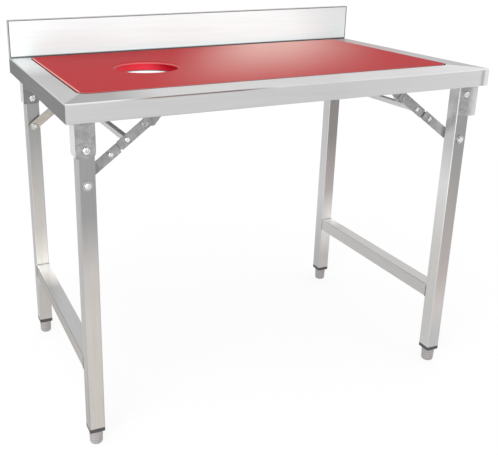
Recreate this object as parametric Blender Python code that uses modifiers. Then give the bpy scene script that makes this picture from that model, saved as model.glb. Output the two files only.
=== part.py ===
"""Butcher table: a stainless tray table with a splashback, a red board with a drop hole, and folding legs.

World frame: origin on the floor under the middle of the table, X to the right, Y to the rear, Z up.
Most places are given from an edge of the table: "inward" in X or Y, and "drop" below the table's top.
"""
import math

import bmesh
import bpy
from mathutils import Vector

# Clearances and overruns
GAP = 0.0003
OVERRUN = 0.010
WELD = 0.00001

# Table top
WIDTH = 1.000
DEPTH = 0.600
TOP_HEIGHT = 0.780

# Rim profiles, folded sheet
RIM_SHEET = 0.0015
RIM_FRONT = 0.076
RIM_SIDE = 0.046
RIM_REAR = 0.030
APRON = 0.040
APRON_LIP = 0.0085
FOLD_RADIUS = 0.002
RECESS_RADIUS = 0.0245

# Tray pan and board
PAN_SHEET = 0.002
BOARD_THICKNESS = 0.020
BOARD_PROUD = 0.0015
BOARD_GAP = 0.0035
BOARD_EDGE = 0.0015
BOARD_RADIUS = 0.022
HOLE_IN_X = 0.273
HOLE_IN_Y = 0.318
HOLE_RADIUS = 0.075
HOLE_ROUNDING = 0.007
PAN_HOLE_MARGIN = 0.001

# Splashback
SPLASH_HEIGHT = 0.094
SPLASH_THICKNESS = 0.020
SPLASH_SHEET = 0.0015

# Leg frames
TUBE = 0.035
TUBE_WALL = 0.0015
TUBE_CORNER = 0.003
LEG_IN_X = 0.0245
LEG_IN_Y = 0.020
CROSSBAR_DROP = 0.5825

# Feet and plugs
FOOT_HEIGHT = 0.0355
FOOT_TOP_RADIUS = 0.016
FOOT_RADIUS = 0.0145
FOOT_ROUNDING = 0.005
FOOT_CHAMFER = 0.001
STUD_RADIUS = 0.005
STUD_LENGTH = 0.028
PLUG_BAND = 0.009
PLUG_INSERT = 0.022
PLUG_FIT = 0.0004

# Hinge brackets
BRACKET_SHEET = 0.0025
BRACKET_DROP = 0.113
BRACKET_CORNER = 0.010

# Stiffener rails
RAIL_SHEET = 0.002
RAIL_IN_Y = 0.025
FRONT_RAIL_DEPTH = 0.018
REAR_RAIL_DEPTH = 0.010

# Braces: the leg bolt, the anchor pivot, and the links between them
LINK_SHEET = 0.0025
LINK_WIDTH = 0.022
LINK_CORNER = 0.001
LINK_STANDOFF = 0.006
BRACE_DROP = 0.170
ANCHOR_IN_X = 0.178
ANCHOR_DROP = 0.069
LOWER_LINK = 0.076
KNEE_PITCH = 0.046
KNEE_GAP = 0.0045
KNEE_PLATE_WIDTH = 0.017
UPPER_LINK_TAIL = 0.017

# Knee crossbar, a small square tube round the tails of the upper knee rivets
KNEE_BAR_SIDE = 0.012
KNEE_BAR_WALL = 0.001
KNEE_BAR_CORNER = 0.001

# Brace anchors
ANCHOR_BEHIND = 0.002
ANCHOR_WIDTH = 0.046
ANCHOR_FOOT_WIDTH = 0.0235
ANCHOR_BELOW = 0.0055
ANCHOR_SHOULDER_DROP = 0.047
ANCHOR_CORNER = 0.006

# Fasteners
PIVOT_BOLT_RADIUS = 0.005
PIVOT_HEAD_RADIUS = 0.0085
PIVOT_HEAD_HEIGHT = 0.0045
PIVOT_NUT_RADIUS = 0.0085
PIVOT_NUT_HEIGHT = 0.005
BRACE_BOLT_RADIUS = 0.004
BRACE_HEAD_RADIUS = 0.0072
BRACE_HEAD_HEIGHT = 0.0045
BRACE_NUT_RADIUS = 0.0065
BRACE_NUT_HEIGHT = 0.005
WASHER_RADIUS = 0.0105
WASHER_SHEET = 0.0012
BUSH_RADIUS = 0.0065
RIVET_RADIUS = 0.004
RIVET_HEAD_RADIUS = 0.006
RIVET_HEAD_HEIGHT = 0.003
RIVET_TAIL_RADIUS = 0.0047
RIVET_TAIL_HEIGHT = 0.0015
BOLT_END = 0.0015

# Counts and shares
NUT_SIDES = 6
ARC_STEPS = 3
CORNER_STEPS = 5
RECESS_STEPS = 9
HOLE_STEPS = 40
FOOT_STEPS = 16
BOLT_STEPS = 12
SHARP_ANGLE = math.radians(35)
ROUND_END_SHARE = 0.98

LEFT = -1
RIGHT = 1
FRONT = -1
REAR = 1
SIDE_NAMES = {LEFT: "left", RIGHT: "right"}
END_NAMES = {FRONT: "front", REAR: "rear"}

# What differs between the two leg frames: the right one folds first, against the underside
LEFT_PIVOT_DROP = 0.098
RIGHT_PIVOT_DROP = 0.061
LEFT_LEG_HEAD = 0.008
RIGHT_LEG_HEAD = 0.018
LEFT_BRACKET_IN_X = 0.020
RIGHT_BRACKET_IN_X = 0.009
LEFT_BRACKET_REACH = 0.061
RIGHT_BRACKET_REACH = 0.0595
LEFT_INNER_REACH = 0.061
RIGHT_INNER_REACH = 0.050
PIVOT_DROP = {LEFT: LEFT_PIVOT_DROP, RIGHT: RIGHT_PIVOT_DROP}
LEG_HEAD = {LEFT: LEFT_LEG_HEAD, RIGHT: RIGHT_LEG_HEAD}
BRACKET_IN_X = {LEFT: LEFT_BRACKET_IN_X, RIGHT: RIGHT_BRACKET_IN_X}
BRACKET_REACH = {LEFT: LEFT_BRACKET_REACH, RIGHT: RIGHT_BRACKET_REACH}
INNER_REACH = {LEFT: LEFT_INNER_REACH, RIGHT: RIGHT_INNER_REACH}

# Worked out from the sizes above
LEG_CENTRE = LEG_IN_X + TUBE / 2
RECESS_DROP = BOARD_THICKNESS - BOARD_PROUD + GAP
PAN_DROP = RECESS_DROP + PAN_SHEET
UNDER_RIM = RIM_SHEET + GAP
UNDER_TOP = {FRONT: UNDER_RIM, REAR: PAN_DROP + GAP}
RAIL_DEPTH = {FRONT: FRONT_RAIL_DEPTH, REAR: REAR_RAIL_DEPTH}
PLUG_BOTTOM = FOOT_HEIGHT + GAP
TUBE_END = PLUG_BOTTOM + PLUG_BAND + GAP
LOWER_LINK_IN = LEG_IN_Y + TUBE + LINK_STANDOFF
UPPER_LINK_IN = LOWER_LINK_IN + LINK_SHEET + GAP
KNEE_PLATE_IN = UPPER_LINK_IN + LINK_SHEET + GAP
KNEE_BAR_IN = KNEE_PLATE_IN + LINK_SHEET / 2
LINK_OVERHANG = (KNEE_PITCH - KNEE_GAP) / 2


def at_x(side, inward):
    """World X of a place that lies inward from the left or right edge of the table."""
    return side * (WIDTH / 2 - inward)


def at_y(end, inward):
    """World Y of a place that lies inward from the front or rear edge of the table."""
    return end * (DEPTH / 2 - inward)


def at_z(drop):
    """World Z of a place below the table's top."""
    return TOP_HEIGHT - drop


def span(a, b):
    """Two places along an axis, the lower one first."""
    return min(a, b), max(a, b)


def clear_scene():
    for thing in list(bpy.data.objects):
        bpy.data.objects.remove(thing)


def new_collection(name):
    group = bpy.data.collections.new(name)
    bpy.context.scene.collection.children.link(group)
    return group


def material(name, colour, roughness, metallic):
    surface = bpy.data.materials.new(name)
    surface.use_nodes = True
    shader = surface.node_tree.nodes["Principled BSDF"]
    shader.inputs["Base Color"].default_value = (*colour, 1)
    shader.inputs["Roughness"].default_value = roughness
    shader.inputs["Metallic"].default_value = metallic
    return surface


clear_scene()
TABLE = new_collection("butcher_table")
CUTTERS = new_collection("cutters")
STEEL = material("brushed_steel", (0.72, 0.72, 0.71), 0.35, 1.0)
TUBE_STEEL = material("tube_steel", (0.66, 0.65, 0.64), 0.32, 1.0)
ZINC = material("galvanised_sheet", (0.45, 0.45, 0.46), 0.5, 0.9)
BOLT_STEEL = material("bright_fasteners", (0.8, 0.8, 0.8), 0.25, 1.0)
RED_BOARD = material("red_board", (0.52, 0.06, 0.07), 0.4, 0.0)
BLACK_PLASTIC = material("black_plug", (0.03, 0.03, 0.03), 0.5, 0.0)
GREY_FOOT = material("grey_foot", (0.42, 0.42, 0.43), 0.4, 0.6)


# Outlines, as lists of points in a plane

def rounded(corners, radii, steps=ARC_STEPS):
    """The corners of an outline, each rounded by its own radius, where zero keeps it sharp."""
    points = []
    for index, (corner, radius) in enumerate(zip(corners, radii)):
        here = Vector(corner)
        if radius == 0:
            points.append(tuple(here))
            continue
        back = (Vector(corners[index - 1]) - here).normalized()
        ahead = (Vector(corners[(index + 1) % len(corners)]) - here).normalized()
        half = back.angle(ahead) / 2
        centre = here + (back + ahead).normalized() * radius / math.sin(half)
        start = here + back * radius / math.tan(half) - centre
        stop = here + ahead * radius / math.tan(half) - centre
        first = math.atan2(start.y, start.x)
        turn = (math.atan2(stop.y, stop.x) - first + math.pi) % math.tau - math.pi
        for step in range(steps + 1):
            angle = first + turn * step / steps
            points.append((centre.x + radius * math.cos(angle), centre.y + radius * math.sin(angle)))
    return points


def rectangle(low, high, radius=0.0, steps=ARC_STEPS):
    corners = [low, (high[0], low[1]), high, (low[0], high[1])]
    return rounded(corners, [radius] * len(corners), steps)


def circle(centre, radius, steps=BOLT_STEPS):
    angles = [math.tau * step / steps for step in range(steps)]
    return [(centre[0] + radius * math.cos(a), centre[1] + radius * math.sin(a)) for a in angles]


def dome(radius, height, steps=ARC_STEPS):
    """A domed head's profile from its crown down to its rim."""
    angles = [math.pi / 2 * step / steps for step in range(steps + 1)]
    return [(radius * math.sin(a), height * math.cos(a)) for a in angles]


# Solids

PLANE_TURNS = {"XY": (0, 0, 0), "XZ": (math.pi / 2, 0, 0), "YZ": (math.pi / 2, 0, math.pi / 2)}
PLANE_NORMALS = {"XY": Vector((0, 0, 1)), "XZ": Vector((0, 1, 0)), "YZ": Vector((1, 0, 0))}


def finish_solid(piece):
    TABLE.objects.link(piece)
    piece.data.shade_smooth()
    piece.data.set_sharp_from_angle(angle=SHARP_ANGLE)
    return piece


def mesh_of(thing):
    """The mesh of an object as the viewport shows it, with loose caps welded."""
    bpy.context.view_layer.update()
    graph = bpy.context.evaluated_depsgraph_get()
    mesh = bpy.data.meshes.new_from_object(thing.evaluated_get(graph))
    shape = bmesh.new()
    shape.from_mesh(mesh)
    bmesh.ops.remove_doubles(shape, verts=shape.verts, dist=WELD)
    shape.to_mesh(mesh)
    shape.free()
    return mesh


def extruded(name, loops, plane, low, high, edge=0.0):
    """A flat outline in a world plane, from low to high along the axis square to it, with rounded edges."""
    curve = bpy.data.curves.new(name, "CURVE")
    curve.dimensions = "2D"
    curve.fill_mode = "BOTH"
    curve.extrude = (high - low) / 2 - edge
    curve.bevel_depth = edge
    curve.bevel_resolution = 1
    curve.offset = -edge
    for loop in loops:
        spline = curve.splines.new("POLY")
        spline.points.add(len(loop) - 1)
        spline.use_cyclic_u = True
        for point, (a, b) in zip(spline.points, loop):
            point.co = (a, b, 0, 1)
    guide = bpy.data.objects.new(name, curve)
    guide.rotation_euler = PLANE_TURNS[plane]
    guide.location = PLANE_NORMALS[plane] * (low + high) / 2
    TABLE.objects.link(guide)
    mesh = mesh_of(guide)
    place = guide.matrix_world.copy()
    bpy.data.objects.remove(guide)
    piece = bpy.data.objects.new(name, mesh)
    piece.matrix_world = place
    return finish_solid(piece)


def box(name, low, high):
    mesh = bpy.data.meshes.new(name)
    shape = bmesh.new()
    bmesh.ops.create_cube(shape, size=1)
    size = Vector(high) - Vector(low)
    bmesh.ops.scale(shape, vec=size, verts=shape.verts)
    shape.to_mesh(mesh)
    shape.free()
    piece = bpy.data.objects.new(name, mesh)
    piece.location = (Vector(low) + Vector(high)) / 2
    return finish_solid(piece)


def turned(name, profile, place, facing=(0, 0, 0), steps=BOLT_STEPS):
    """A profile of radius and height pairs, crown first, turned round an axis that starts along +Z."""
    mesh = bpy.data.meshes.new(name)
    shape = bmesh.new()
    points = [shape.verts.new((radius, 0, height)) for radius, height in profile]
    for a, b in zip(points, points[1:]):
        shape.edges.new((a, b))
    shape.to_mesh(mesh)
    shape.free()
    piece = bpy.data.objects.new(name, mesh)
    piece.location = place
    piece.rotation_euler = facing
    screw = piece.modifiers.new("turn", "SCREW")
    screw.axis = "Z"
    screw.steps = steps
    screw.render_steps = steps
    screw.use_merge_vertices = True
    screw.merge_threshold = WELD
    return finish_solid(piece)


# A turned piece starts along +Z; these turn it to face the front or the rear
TOWARDS = {FRONT: (math.pi / 2, 0, 0), REAR: (-math.pi / 2, 0, 0)}


def as_cutter(piece):
    TABLE.objects.unlink(piece)
    CUTTERS.objects.link(piece)
    piece.name = "cut_" + piece.name
    piece.hide_render = True
    piece.display_type = "WIRE"
    return piece


def boolean(piece, other, operation):
    change = piece.modifiers.new(operation.lower(), "BOOLEAN")
    change.operation = operation
    change.solver = "EXACT"
    change.object = as_cutter(other) if other.name not in CUTTERS.objects else other
    return piece


def cut(piece, cutter):
    return boolean(piece, cutter, "DIFFERENCE")


def fuse(piece, other):
    return boolean(piece, other, "UNION")


def drill(piece, side, end, inward, drop, radius, reach_in, reach_out):
    """A round hole along Y at a place inward of a side edge and below the top, between two depths."""
    low, high = span(at_y(end, reach_in), at_y(end, reach_out))
    loop = circle((at_x(side, inward), at_z(drop)), radius)
    return cut(piece, extruded(piece.name + "_hole", [loop], "XZ", low - OVERRUN / 2, high + OVERRUN / 2))


def named(piece, name, surface, carrier=None):
    """Gives a piece its node name and material, and hangs it on the empty of the joint that moves it."""
    piece.name = name
    piece.data.name = name
    piece.data.materials.clear()
    piece.data.materials.append(surface)
    if carrier:
        piece.parent = carrier
        piece.matrix_parent_inverse = carrier.matrix_world.inverted()
    return piece


def joint_empty(name, place, carrier=None):
    empty = bpy.data.objects.new(name, None)
    empty.location = place
    TABLE.objects.link(empty)
    bpy.context.view_layer.update()
    if carrier:
        empty.parent = carrier
        empty.matrix_parent_inverse = carrier.matrix_world.inverted()
        bpy.context.view_layer.update()
    return empty


# Table top

RECESS_LOW = (at_x(LEFT, RIM_SIDE), at_y(FRONT, RIM_FRONT))
RECESS_HIGH = (at_x(RIGHT, RIM_SIDE), at_y(REAR, RIM_REAR))


def mitre(piece, corner, inner, keep):
    """Cuts a profile along the upright plane through two points, on the far side from the point to keep."""
    corner, inner, keep = Vector(corner), Vector(inner), Vector(keep)
    along = (inner - corner).normalized()
    away = Vector((along.y, -along.x))
    if away.dot(keep - corner) > 0:
        away = -away
    reach = WIDTH
    start = corner - away * GAP / 2 - along * reach / 2
    loop = [start, start + along * reach, start + along * reach + away * reach, start + away * reach]
    low, high = at_z(APRON + OVERRUN), at_z(-OVERRUN)
    return cut(piece, extruded(piece.name + "_mitre", [[tuple(p) for p in loop]], "XY", low, high))


def rim_section(flange, outer, inward):
    """The folded section of a rim: apron with its return lip, and top flange."""
    shape = [(0, 0), (flange, 0), (flange, RIM_SHEET), (RIM_SHEET, RIM_SHEET),
             (RIM_SHEET, APRON - RIM_SHEET), (APRON_LIP, APRON - RIM_SHEET), (APRON_LIP, APRON), (0, APRON)]
    radii = [FOLD_RADIUS, 0, 0, FOLD_RADIUS - RIM_SHEET, 0, 0, 0, FOLD_RADIUS]
    return rounded([(outer + inward * reach, at_z(drop)) for reach, drop in shape], radii)


def build_rims():
    rear_apron = SPLASH_SHEET + GAP
    recess = extruded("recess", [rectangle(RECESS_LOW, RECESS_HIGH, RECESS_RADIUS, RECESS_STEPS)], "XY",
                      at_z(RIM_SHEET + OVERRUN / 2), at_z(-OVERRUN))
    middle = (0, 0)
    corners = {}
    for side in (LEFT, RIGHT):
        corners[side, FRONT] = ((at_x(side, 0), at_y(FRONT, 0)),
                                (at_x(side, RIM_SIDE), at_y(FRONT, RIM_FRONT)))
        corners[side, REAR] = ((at_x(side, 0), at_y(REAR, rear_apron)),
                               (at_x(side, RIM_SIDE), at_y(REAR, RIM_REAR)))
    for end, flange, start in ((FRONT, RIM_FRONT, 0), (REAR, RIM_REAR - rear_apron, rear_apron)):
        section = rim_section(flange + RECESS_RADIUS, at_y(end, start), -end)
        rim = extruded("rim", [section], "YZ", at_x(LEFT, 0), at_x(RIGHT, 0))
        named(rim, END_NAMES[end] + "_rim", STEEL)
        for side in (LEFT, RIGHT):
            mitre(rim, *corners[side, end], (0, at_y(end, 0)))
        cut(rim, recess)
    for side in (LEFT, RIGHT):
        section = rim_section(RIM_SIDE + RECESS_RADIUS, at_x(side, 0), -side)
        rim = extruded("rim", [section], "XZ", at_y(FRONT, 0), at_y(REAR, rear_apron))
        named(rim, SIDE_NAMES[side] + "_rim", STEEL)
        for end in (FRONT, REAR):
            mitre(rim, *corners[side, end], (at_x(side, 0), 0))
        cut(rim, recess)


def build_pan():
    """The sunk tray under the board, with its walls up to the rims and the drop hole in its floor."""
    low = (RECESS_LOW[0] - PAN_SHEET, RECESS_LOW[1] - PAN_SHEET)
    high = (RECESS_HIGH[0] + PAN_SHEET, RECESS_HIGH[1] + PAN_SHEET)
    outer = rectangle(low, high, RECESS_RADIUS + PAN_SHEET, RECESS_STEPS)
    inner = rectangle(RECESS_LOW, RECESS_HIGH, RECESS_RADIUS, RECESS_STEPS)
    pan = extruded("pan", [outer], "XY", at_z(PAN_DROP), at_z(UNDER_RIM))
    named(pan, "tray_pan", STEEL)
    cut(pan, extruded("pan_inside", [inner], "XY", at_z(RECESS_DROP), at_z(-OVERRUN)))
    hole = circle((at_x(LEFT, HOLE_IN_X), at_y(FRONT, HOLE_IN_Y)), HOLE_RADIUS + PAN_HOLE_MARGIN, HOLE_STEPS)
    cut(pan, extruded("pan_hole", [hole], "XY", at_z(PAN_DROP + OVERRUN), at_z(RECESS_DROP - OVERRUN)))


def build_board():
    """The loose board with softened edges and a drop hole that is rounded over at the top and below."""
    low = (RECESS_LOW[0] + BOARD_GAP, RECESS_LOW[1] + BOARD_GAP)
    high = (RECESS_HIGH[0] - BOARD_GAP, RECESS_HIGH[1] - BOARD_GAP)
    top = at_z(-BOARD_PROUD)
    bottom = top - BOARD_THICKNESS
    board = extruded("board", [rectangle(low, high, BOARD_RADIUS, RECESS_STEPS)], "XY", bottom, top, BOARD_EDGE)
    lift = joint_empty("board_lift_axis", (0, 0, bottom))
    named(board, "cutting_board", RED_BOARD, lift)
    lip = HOLE_RADIUS + HOLE_ROUNDING
    profile = [(0, OVERRUN), (lip, OVERRUN)]
    for step in range(CORNER_STEPS + 1):
        angle = math.pi / 2 * step / CORNER_STEPS
        profile.append((lip - HOLE_ROUNDING * math.sin(angle), -HOLE_ROUNDING * (1 - math.cos(angle))))
    profile += [(HOLE_RADIUS, -BOARD_THICKNESS - OVERRUN), (0, -BOARD_THICKNESS - OVERRUN)]
    place = (at_x(LEFT, HOLE_IN_X), at_y(FRONT, HOLE_IN_Y), top)
    cut(board, turned("board_hole", profile, place, steps=HOLE_STEPS))


def build_splashback():
    """A hollow folded panel on the rear rim, whose back sheet runs down over the rear apron."""
    front = at_y(REAR, SPLASH_THICKNESS)
    back = at_y(REAR, 0)
    foot = at_z(-GAP)
    head = at_z(-SPLASH_HEIGHT)
    corners = [(front, foot), (front, head), (back, head), (back, at_z(APRON)),
               (back - SPLASH_SHEET, at_z(APRON)), (back - SPLASH_SHEET, foot)]
    outline = rounded(corners, [0, FOLD_RADIUS, FOLD_RADIUS, 0, 0, 0])
    panel = extruded("panel", [outline], "YZ", at_x(LEFT, 0), at_x(RIGHT, 0))
    named(panel, "splashback", STEEL)
    inside = box("panel_inside",
                 (at_x(LEFT, SPLASH_SHEET), front + SPLASH_SHEET, foot - OVERRUN / 2),
                 (at_x(RIGHT, SPLASH_SHEET), back - SPLASH_SHEET, head - SPLASH_SHEET))
    cut(panel, inside)


def build_rails():
    """Channels between the brackets that carry the brace anchors: under the front rim, and under the pan."""
    for end in (FRONT, REAR):
        low, high = span(at_y(end, RAIL_IN_Y), at_y(end, KNEE_PLATE_IN - GAP))
        top, bottom = at_z(UNDER_TOP[end]), at_z(UNDER_TOP[end] + RAIL_DEPTH[end])
        channel = [(low, top), (low, bottom), (high, bottom), (high, top), (high - RAIL_SHEET, top),
                   (high - RAIL_SHEET, bottom + RAIL_SHEET), (low + RAIL_SHEET, bottom + RAIL_SHEET),
                   (low + RAIL_SHEET, top)]
        rail = extruded("rail", [channel], "YZ", at_x(LEFT, BRACKET_REACH[LEFT] + GAP),
                        at_x(RIGHT, BRACKET_REACH[RIGHT] + GAP))
        named(rail, END_NAMES[end] + "_stiffener", ZINC)


# Hinge brackets and their bolts

def build_bracket(side, end):
    """A folded U that is open towards the middle of the table, with a closed top under the rim or the pan."""
    inner_x = at_x(side, BRACKET_REACH[side])
    outer_x = at_x(side, BRACKET_IN_X[side])
    top, bottom = at_z(UNDER_TOP[end]), at_z(BRACKET_DROP)
    corners = [(outer_x, top), (inner_x, top), (inner_x, bottom), (outer_x, bottom)]
    outline = rounded(corners, [0, 0, BRACKET_CORNER, FOLD_RADIUS])
    shell_in = LEG_IN_Y - GAP - BRACKET_SHEET
    shell_out = LEG_IN_Y + TUBE + GAP + BRACKET_SHEET
    low, high = span(at_y(end, shell_in), at_y(end, shell_out))
    bracket = extruded("bracket", [outline], "XZ", low, high)
    named(bracket, "_".join((END_NAMES[end], SIDE_NAMES[side], "bracket")), ZINC)
    web_x = outer_x - side * BRACKET_SHEET
    open_x = inner_x - side * OVERRUN
    room_x = span(web_x, open_x)
    inside = box("bracket_inside", (room_x[0], low + BRACKET_SHEET, bottom - OVERRUN),
                 (room_x[1], high - BRACKET_SHEET, top - BRACKET_SHEET))
    cut(bracket, inside)
    if INNER_REACH[side] < BRACKET_REACH[side]:
        trim_x = span(at_x(side, INNER_REACH[side]), open_x)
        trim_y = span(at_y(end, LEG_IN_Y + TUBE / 2), at_y(end, shell_out + OVERRUN))
        cut(bracket, box("bracket_trim", (trim_x[0], trim_y[0], bottom - OVERRUN),
                         (trim_x[1], trim_y[1], top - BRACKET_SHEET)))
    drill(bracket, side, end, LEG_CENTRE, PIVOT_DROP[side], PIVOT_BOLT_RADIUS + GAP, shell_in, shell_out)


def hex_nut(side, end, inward, drop, start_in, stop_in, radius):
    """A six-sided nut round a place, along Y between two depths."""
    low, high = span(at_y(end, start_in), at_y(end, stop_in))
    return extruded("nut", [circle((at_x(side, inward), at_z(drop)), radius, NUT_SIDES)], "XZ", low, high)


def build_pivot_bolt(side, end):
    """The bolt that a leg turns on, from the bracket's outer plate to a nut behind its inner plate."""
    seat_in = LEG_IN_Y - GAP - BRACKET_SHEET - GAP
    nut_in = LEG_IN_Y + TUBE + GAP + BRACKET_SHEET + GAP
    length = nut_in + PIVOT_NUT_HEIGHT + BOLT_END - seat_in
    profile = dome(PIVOT_HEAD_RADIUS, PIVOT_HEAD_HEIGHT)
    profile += [(PIVOT_BOLT_RADIUS, 0), (PIVOT_BOLT_RADIUS, -length), (0, -length)]
    place = (at_x(side, LEG_CENTRE), at_y(end, seat_in), at_z(PIVOT_DROP[side]))
    bolt = turned("bolt", profile, place, TOWARDS[end])
    named(bolt, "_".join((END_NAMES[end], SIDE_NAMES[side], "pivot_bolt")), BOLT_STEEL)
    fuse(bolt, hex_nut(side, end, LEG_CENTRE, PIVOT_DROP[side], nut_in, nut_in + PIVOT_NUT_HEIGHT,
                       PIVOT_NUT_RADIUS))


# Brace geometry: lengths along the brace are measured from its leg bolt, heights square to it

LEG_BOLT = Vector((LEG_CENTRE, BRACE_DROP))
ANCHOR_PIVOT = Vector((ANCHOR_IN_X, ANCHOR_DROP))
BRACE_LENGTH = (ANCHOR_PIVOT - LEG_BOLT).length
BRACE_WAY = (ANCHOR_PIVOT - LEG_BOLT).normalized()
BRACE_UP = Vector((BRACE_WAY.y, -BRACE_WAY.x))
LOWER_KNEE = LOWER_LINK
UPPER_KNEE = LOWER_LINK + KNEE_PITCH


def on_brace(along, height=0.0):
    """Inward and drop of a point on the brace."""
    return LEG_BOLT + BRACE_WAY * along + BRACE_UP * height


def brace_world(side, end, along, inward_y):
    inward, drop = on_brace(along)
    return at_x(side, inward), at_y(end, inward_y), at_z(drop)


def brace_outline(side, corners, radii):
    """An outline given along and square to the brace, in world X and Z."""
    shape = [on_brace(*corner) for corner in corners]
    return rounded([(at_x(side, p.x), at_z(p.y)) for p in shape], radii)


def strap(name, side, end, start, stop, width, inward_y, round_start, round_stop):
    """A flat link along the brace, with round or square ends."""
    half = width / 2
    corners = [(start, -half), (stop, -half), (stop, half), (start, half)]
    near = half * ROUND_END_SHARE if round_start else LINK_CORNER
    far = half * ROUND_END_SHARE if round_stop else LINK_CORNER
    outline = brace_outline(side, corners, [near, far, far, near])
    low, high = span(at_y(end, inward_y), at_y(end, inward_y + LINK_SHEET))
    return extruded(name, [outline], "XZ", low, high)


def drill_on_brace(piece, side, end, along, radius, inward_y, depth=LINK_SHEET):
    inward, drop = on_brace(along)
    return drill(piece, side, end, inward, drop, radius, inward_y, inward_y + depth)


def build_anchor(side, end):
    """The plate on the stiffener's side that the upper link's end lies against."""
    start = ANCHOR_IN_X - ANCHOR_BEHIND
    foot_drop = ANCHOR_DROP + ANCHOR_BELOW
    top_drop = UNDER_TOP[end]
    shape = [(start, top_drop), (start + ANCHOR_WIDTH, top_drop), (start + ANCHOR_WIDTH, ANCHOR_SHOULDER_DROP),
             (start + ANCHOR_FOOT_WIDTH, foot_drop), (start, foot_drop)]
    radii = [0, 0, ANCHOR_CORNER, ANCHOR_CORNER, ANCHOR_CORNER]
    outline = rounded([(at_x(side, inward), at_z(drop)) for inward, drop in shape], radii)
    low, high = span(at_y(end, KNEE_PLATE_IN), at_y(end, KNEE_PLATE_IN + LINK_SHEET))
    anchor = extruded("anchor", [outline], "XZ", low, high)
    named(anchor, "_".join((END_NAMES[end], SIDE_NAMES[side], "brace_anchor")), ZINC)


# Leg frames

def build_leg(side, end, carrier):
    """A square tube, open at its head inside the bracket, drilled for the pivot and brace bolts."""
    low = (at_x(side, LEG_CENTRE) - TUBE / 2, at_y(end, LEG_IN_Y + TUBE / 2) - TUBE / 2)
    high = (low[0] + TUBE, low[1] + TUBE)
    bore_low = (low[0] + TUBE_WALL, low[1] + TUBE_WALL)
    bore_high = (high[0] - TUBE_WALL, high[1] - TUBE_WALL)
    loops = [rectangle(low, high, TUBE_CORNER), rectangle(bore_low, bore_high, TUBE_CORNER - TUBE_WALL)]
    leg = extruded("leg", loops, "XY", TUBE_END, at_z(PIVOT_DROP[side] - LEG_HEAD[side]))
    named(leg, "_".join((END_NAMES[end], SIDE_NAMES[side], "leg")), TUBE_STEEL, carrier)
    reach = LEG_IN_Y, LEG_IN_Y + TUBE
    drill(leg, side, end, LEG_CENTRE, PIVOT_DROP[side], PIVOT_BOLT_RADIUS + GAP, *reach)
    drill(leg, side, end, LEG_CENTRE, BRACE_DROP, BRACE_BOLT_RADIUS + GAP, *reach)


def build_crossbar(side, carrier):
    """The lower tube that is welded between the front and rear legs of a frame."""
    centre = (at_x(side, LEG_CENTRE), at_z(CROSSBAR_DROP))
    low = (centre[0] - TUBE / 2, centre[1] - TUBE / 2)
    high = (low[0] + TUBE, low[1] + TUBE)
    bore_low = (low[0] + TUBE_WALL, low[1] + TUBE_WALL)
    bore_high = (high[0] - TUBE_WALL, high[1] - TUBE_WALL)
    loops = [rectangle(low, high, TUBE_CORNER), rectangle(bore_low, bore_high, TUBE_CORNER - TUBE_WALL)]
    reach = LEG_IN_Y + TUBE + GAP
    bar = extruded("bar", loops, "XZ", at_y(FRONT, reach), at_y(REAR, reach))
    named(bar, SIDE_NAMES[side] + "_crossbar", TUBE_STEEL, carrier)


def build_plug(side, end, carrier):
    """A black plug in a tube's end: a band as wide as the tube, and an insert up its bore."""
    centre = (at_x(side, LEG_CENTRE), at_y(end, LEG_IN_Y + TUBE / 2))
    bore = TUBE / 2 - TUBE_WALL - PLUG_FIT
    sizes = ((TUBE / 2, PLUG_BOTTOM, PLUG_BOTTOM + PLUG_BAND, TUBE_CORNER),
             (bore, PLUG_BOTTOM + PLUG_BAND / 2, TUBE_END + PLUG_INSERT, TUBE_CORNER - TUBE_WALL))
    band, insert = [extruded("plug", [rectangle((centre[0] - half, centre[1] - half),
                                                (centre[0] + half, centre[1] + half), corner)],
                             "XY", low, high) for half, low, high, corner in sizes]
    named(band, "_".join((END_NAMES[end], SIDE_NAMES[side], "leg_plug")), BLACK_PLASTIC, carrier)
    fuse(band, insert)
    hole = circle(centre, STUD_RADIUS + GAP)
    cut(band, extruded("plug_hole", [hole], "XY", PLUG_BOTTOM - OVERRUN, TUBE_END + PLUG_INSERT + OVERRUN))


def build_foot(side, end, carrier):
    """A levelling foot: a tapered barrel with a rounded sole, on a stud that runs up into the plug."""
    place = (at_x(side, LEG_CENTRE), at_y(end, LEG_IN_Y + TUBE / 2), 0)
    profile = [(0, FOOT_HEIGHT + STUD_LENGTH), (STUD_RADIUS, FOOT_HEIGHT + STUD_LENGTH),
               (STUD_RADIUS, FOOT_HEIGHT), (FOOT_TOP_RADIUS - FOOT_CHAMFER, FOOT_HEIGHT),
               (FOOT_TOP_RADIUS, FOOT_HEIGHT - FOOT_CHAMFER)]
    for step in range(ARC_STEPS + 1):
        angle = math.pi / 2 * step / ARC_STEPS
        profile.append((FOOT_RADIUS - FOOT_ROUNDING * (1 - math.cos(angle)),
                        FOOT_ROUNDING * (1 - math.sin(angle))))
    profile.append((0, 0))
    carrier_name = "_".join((END_NAMES[end], SIDE_NAMES[side], "foot_axis"))
    axis = joint_empty(carrier_name, place, carrier)
    foot = turned("foot", profile, place, steps=FOOT_STEPS)
    named(foot, "_".join((END_NAMES[end], SIDE_NAMES[side], "foot")), GREY_FOOT, axis)


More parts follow.
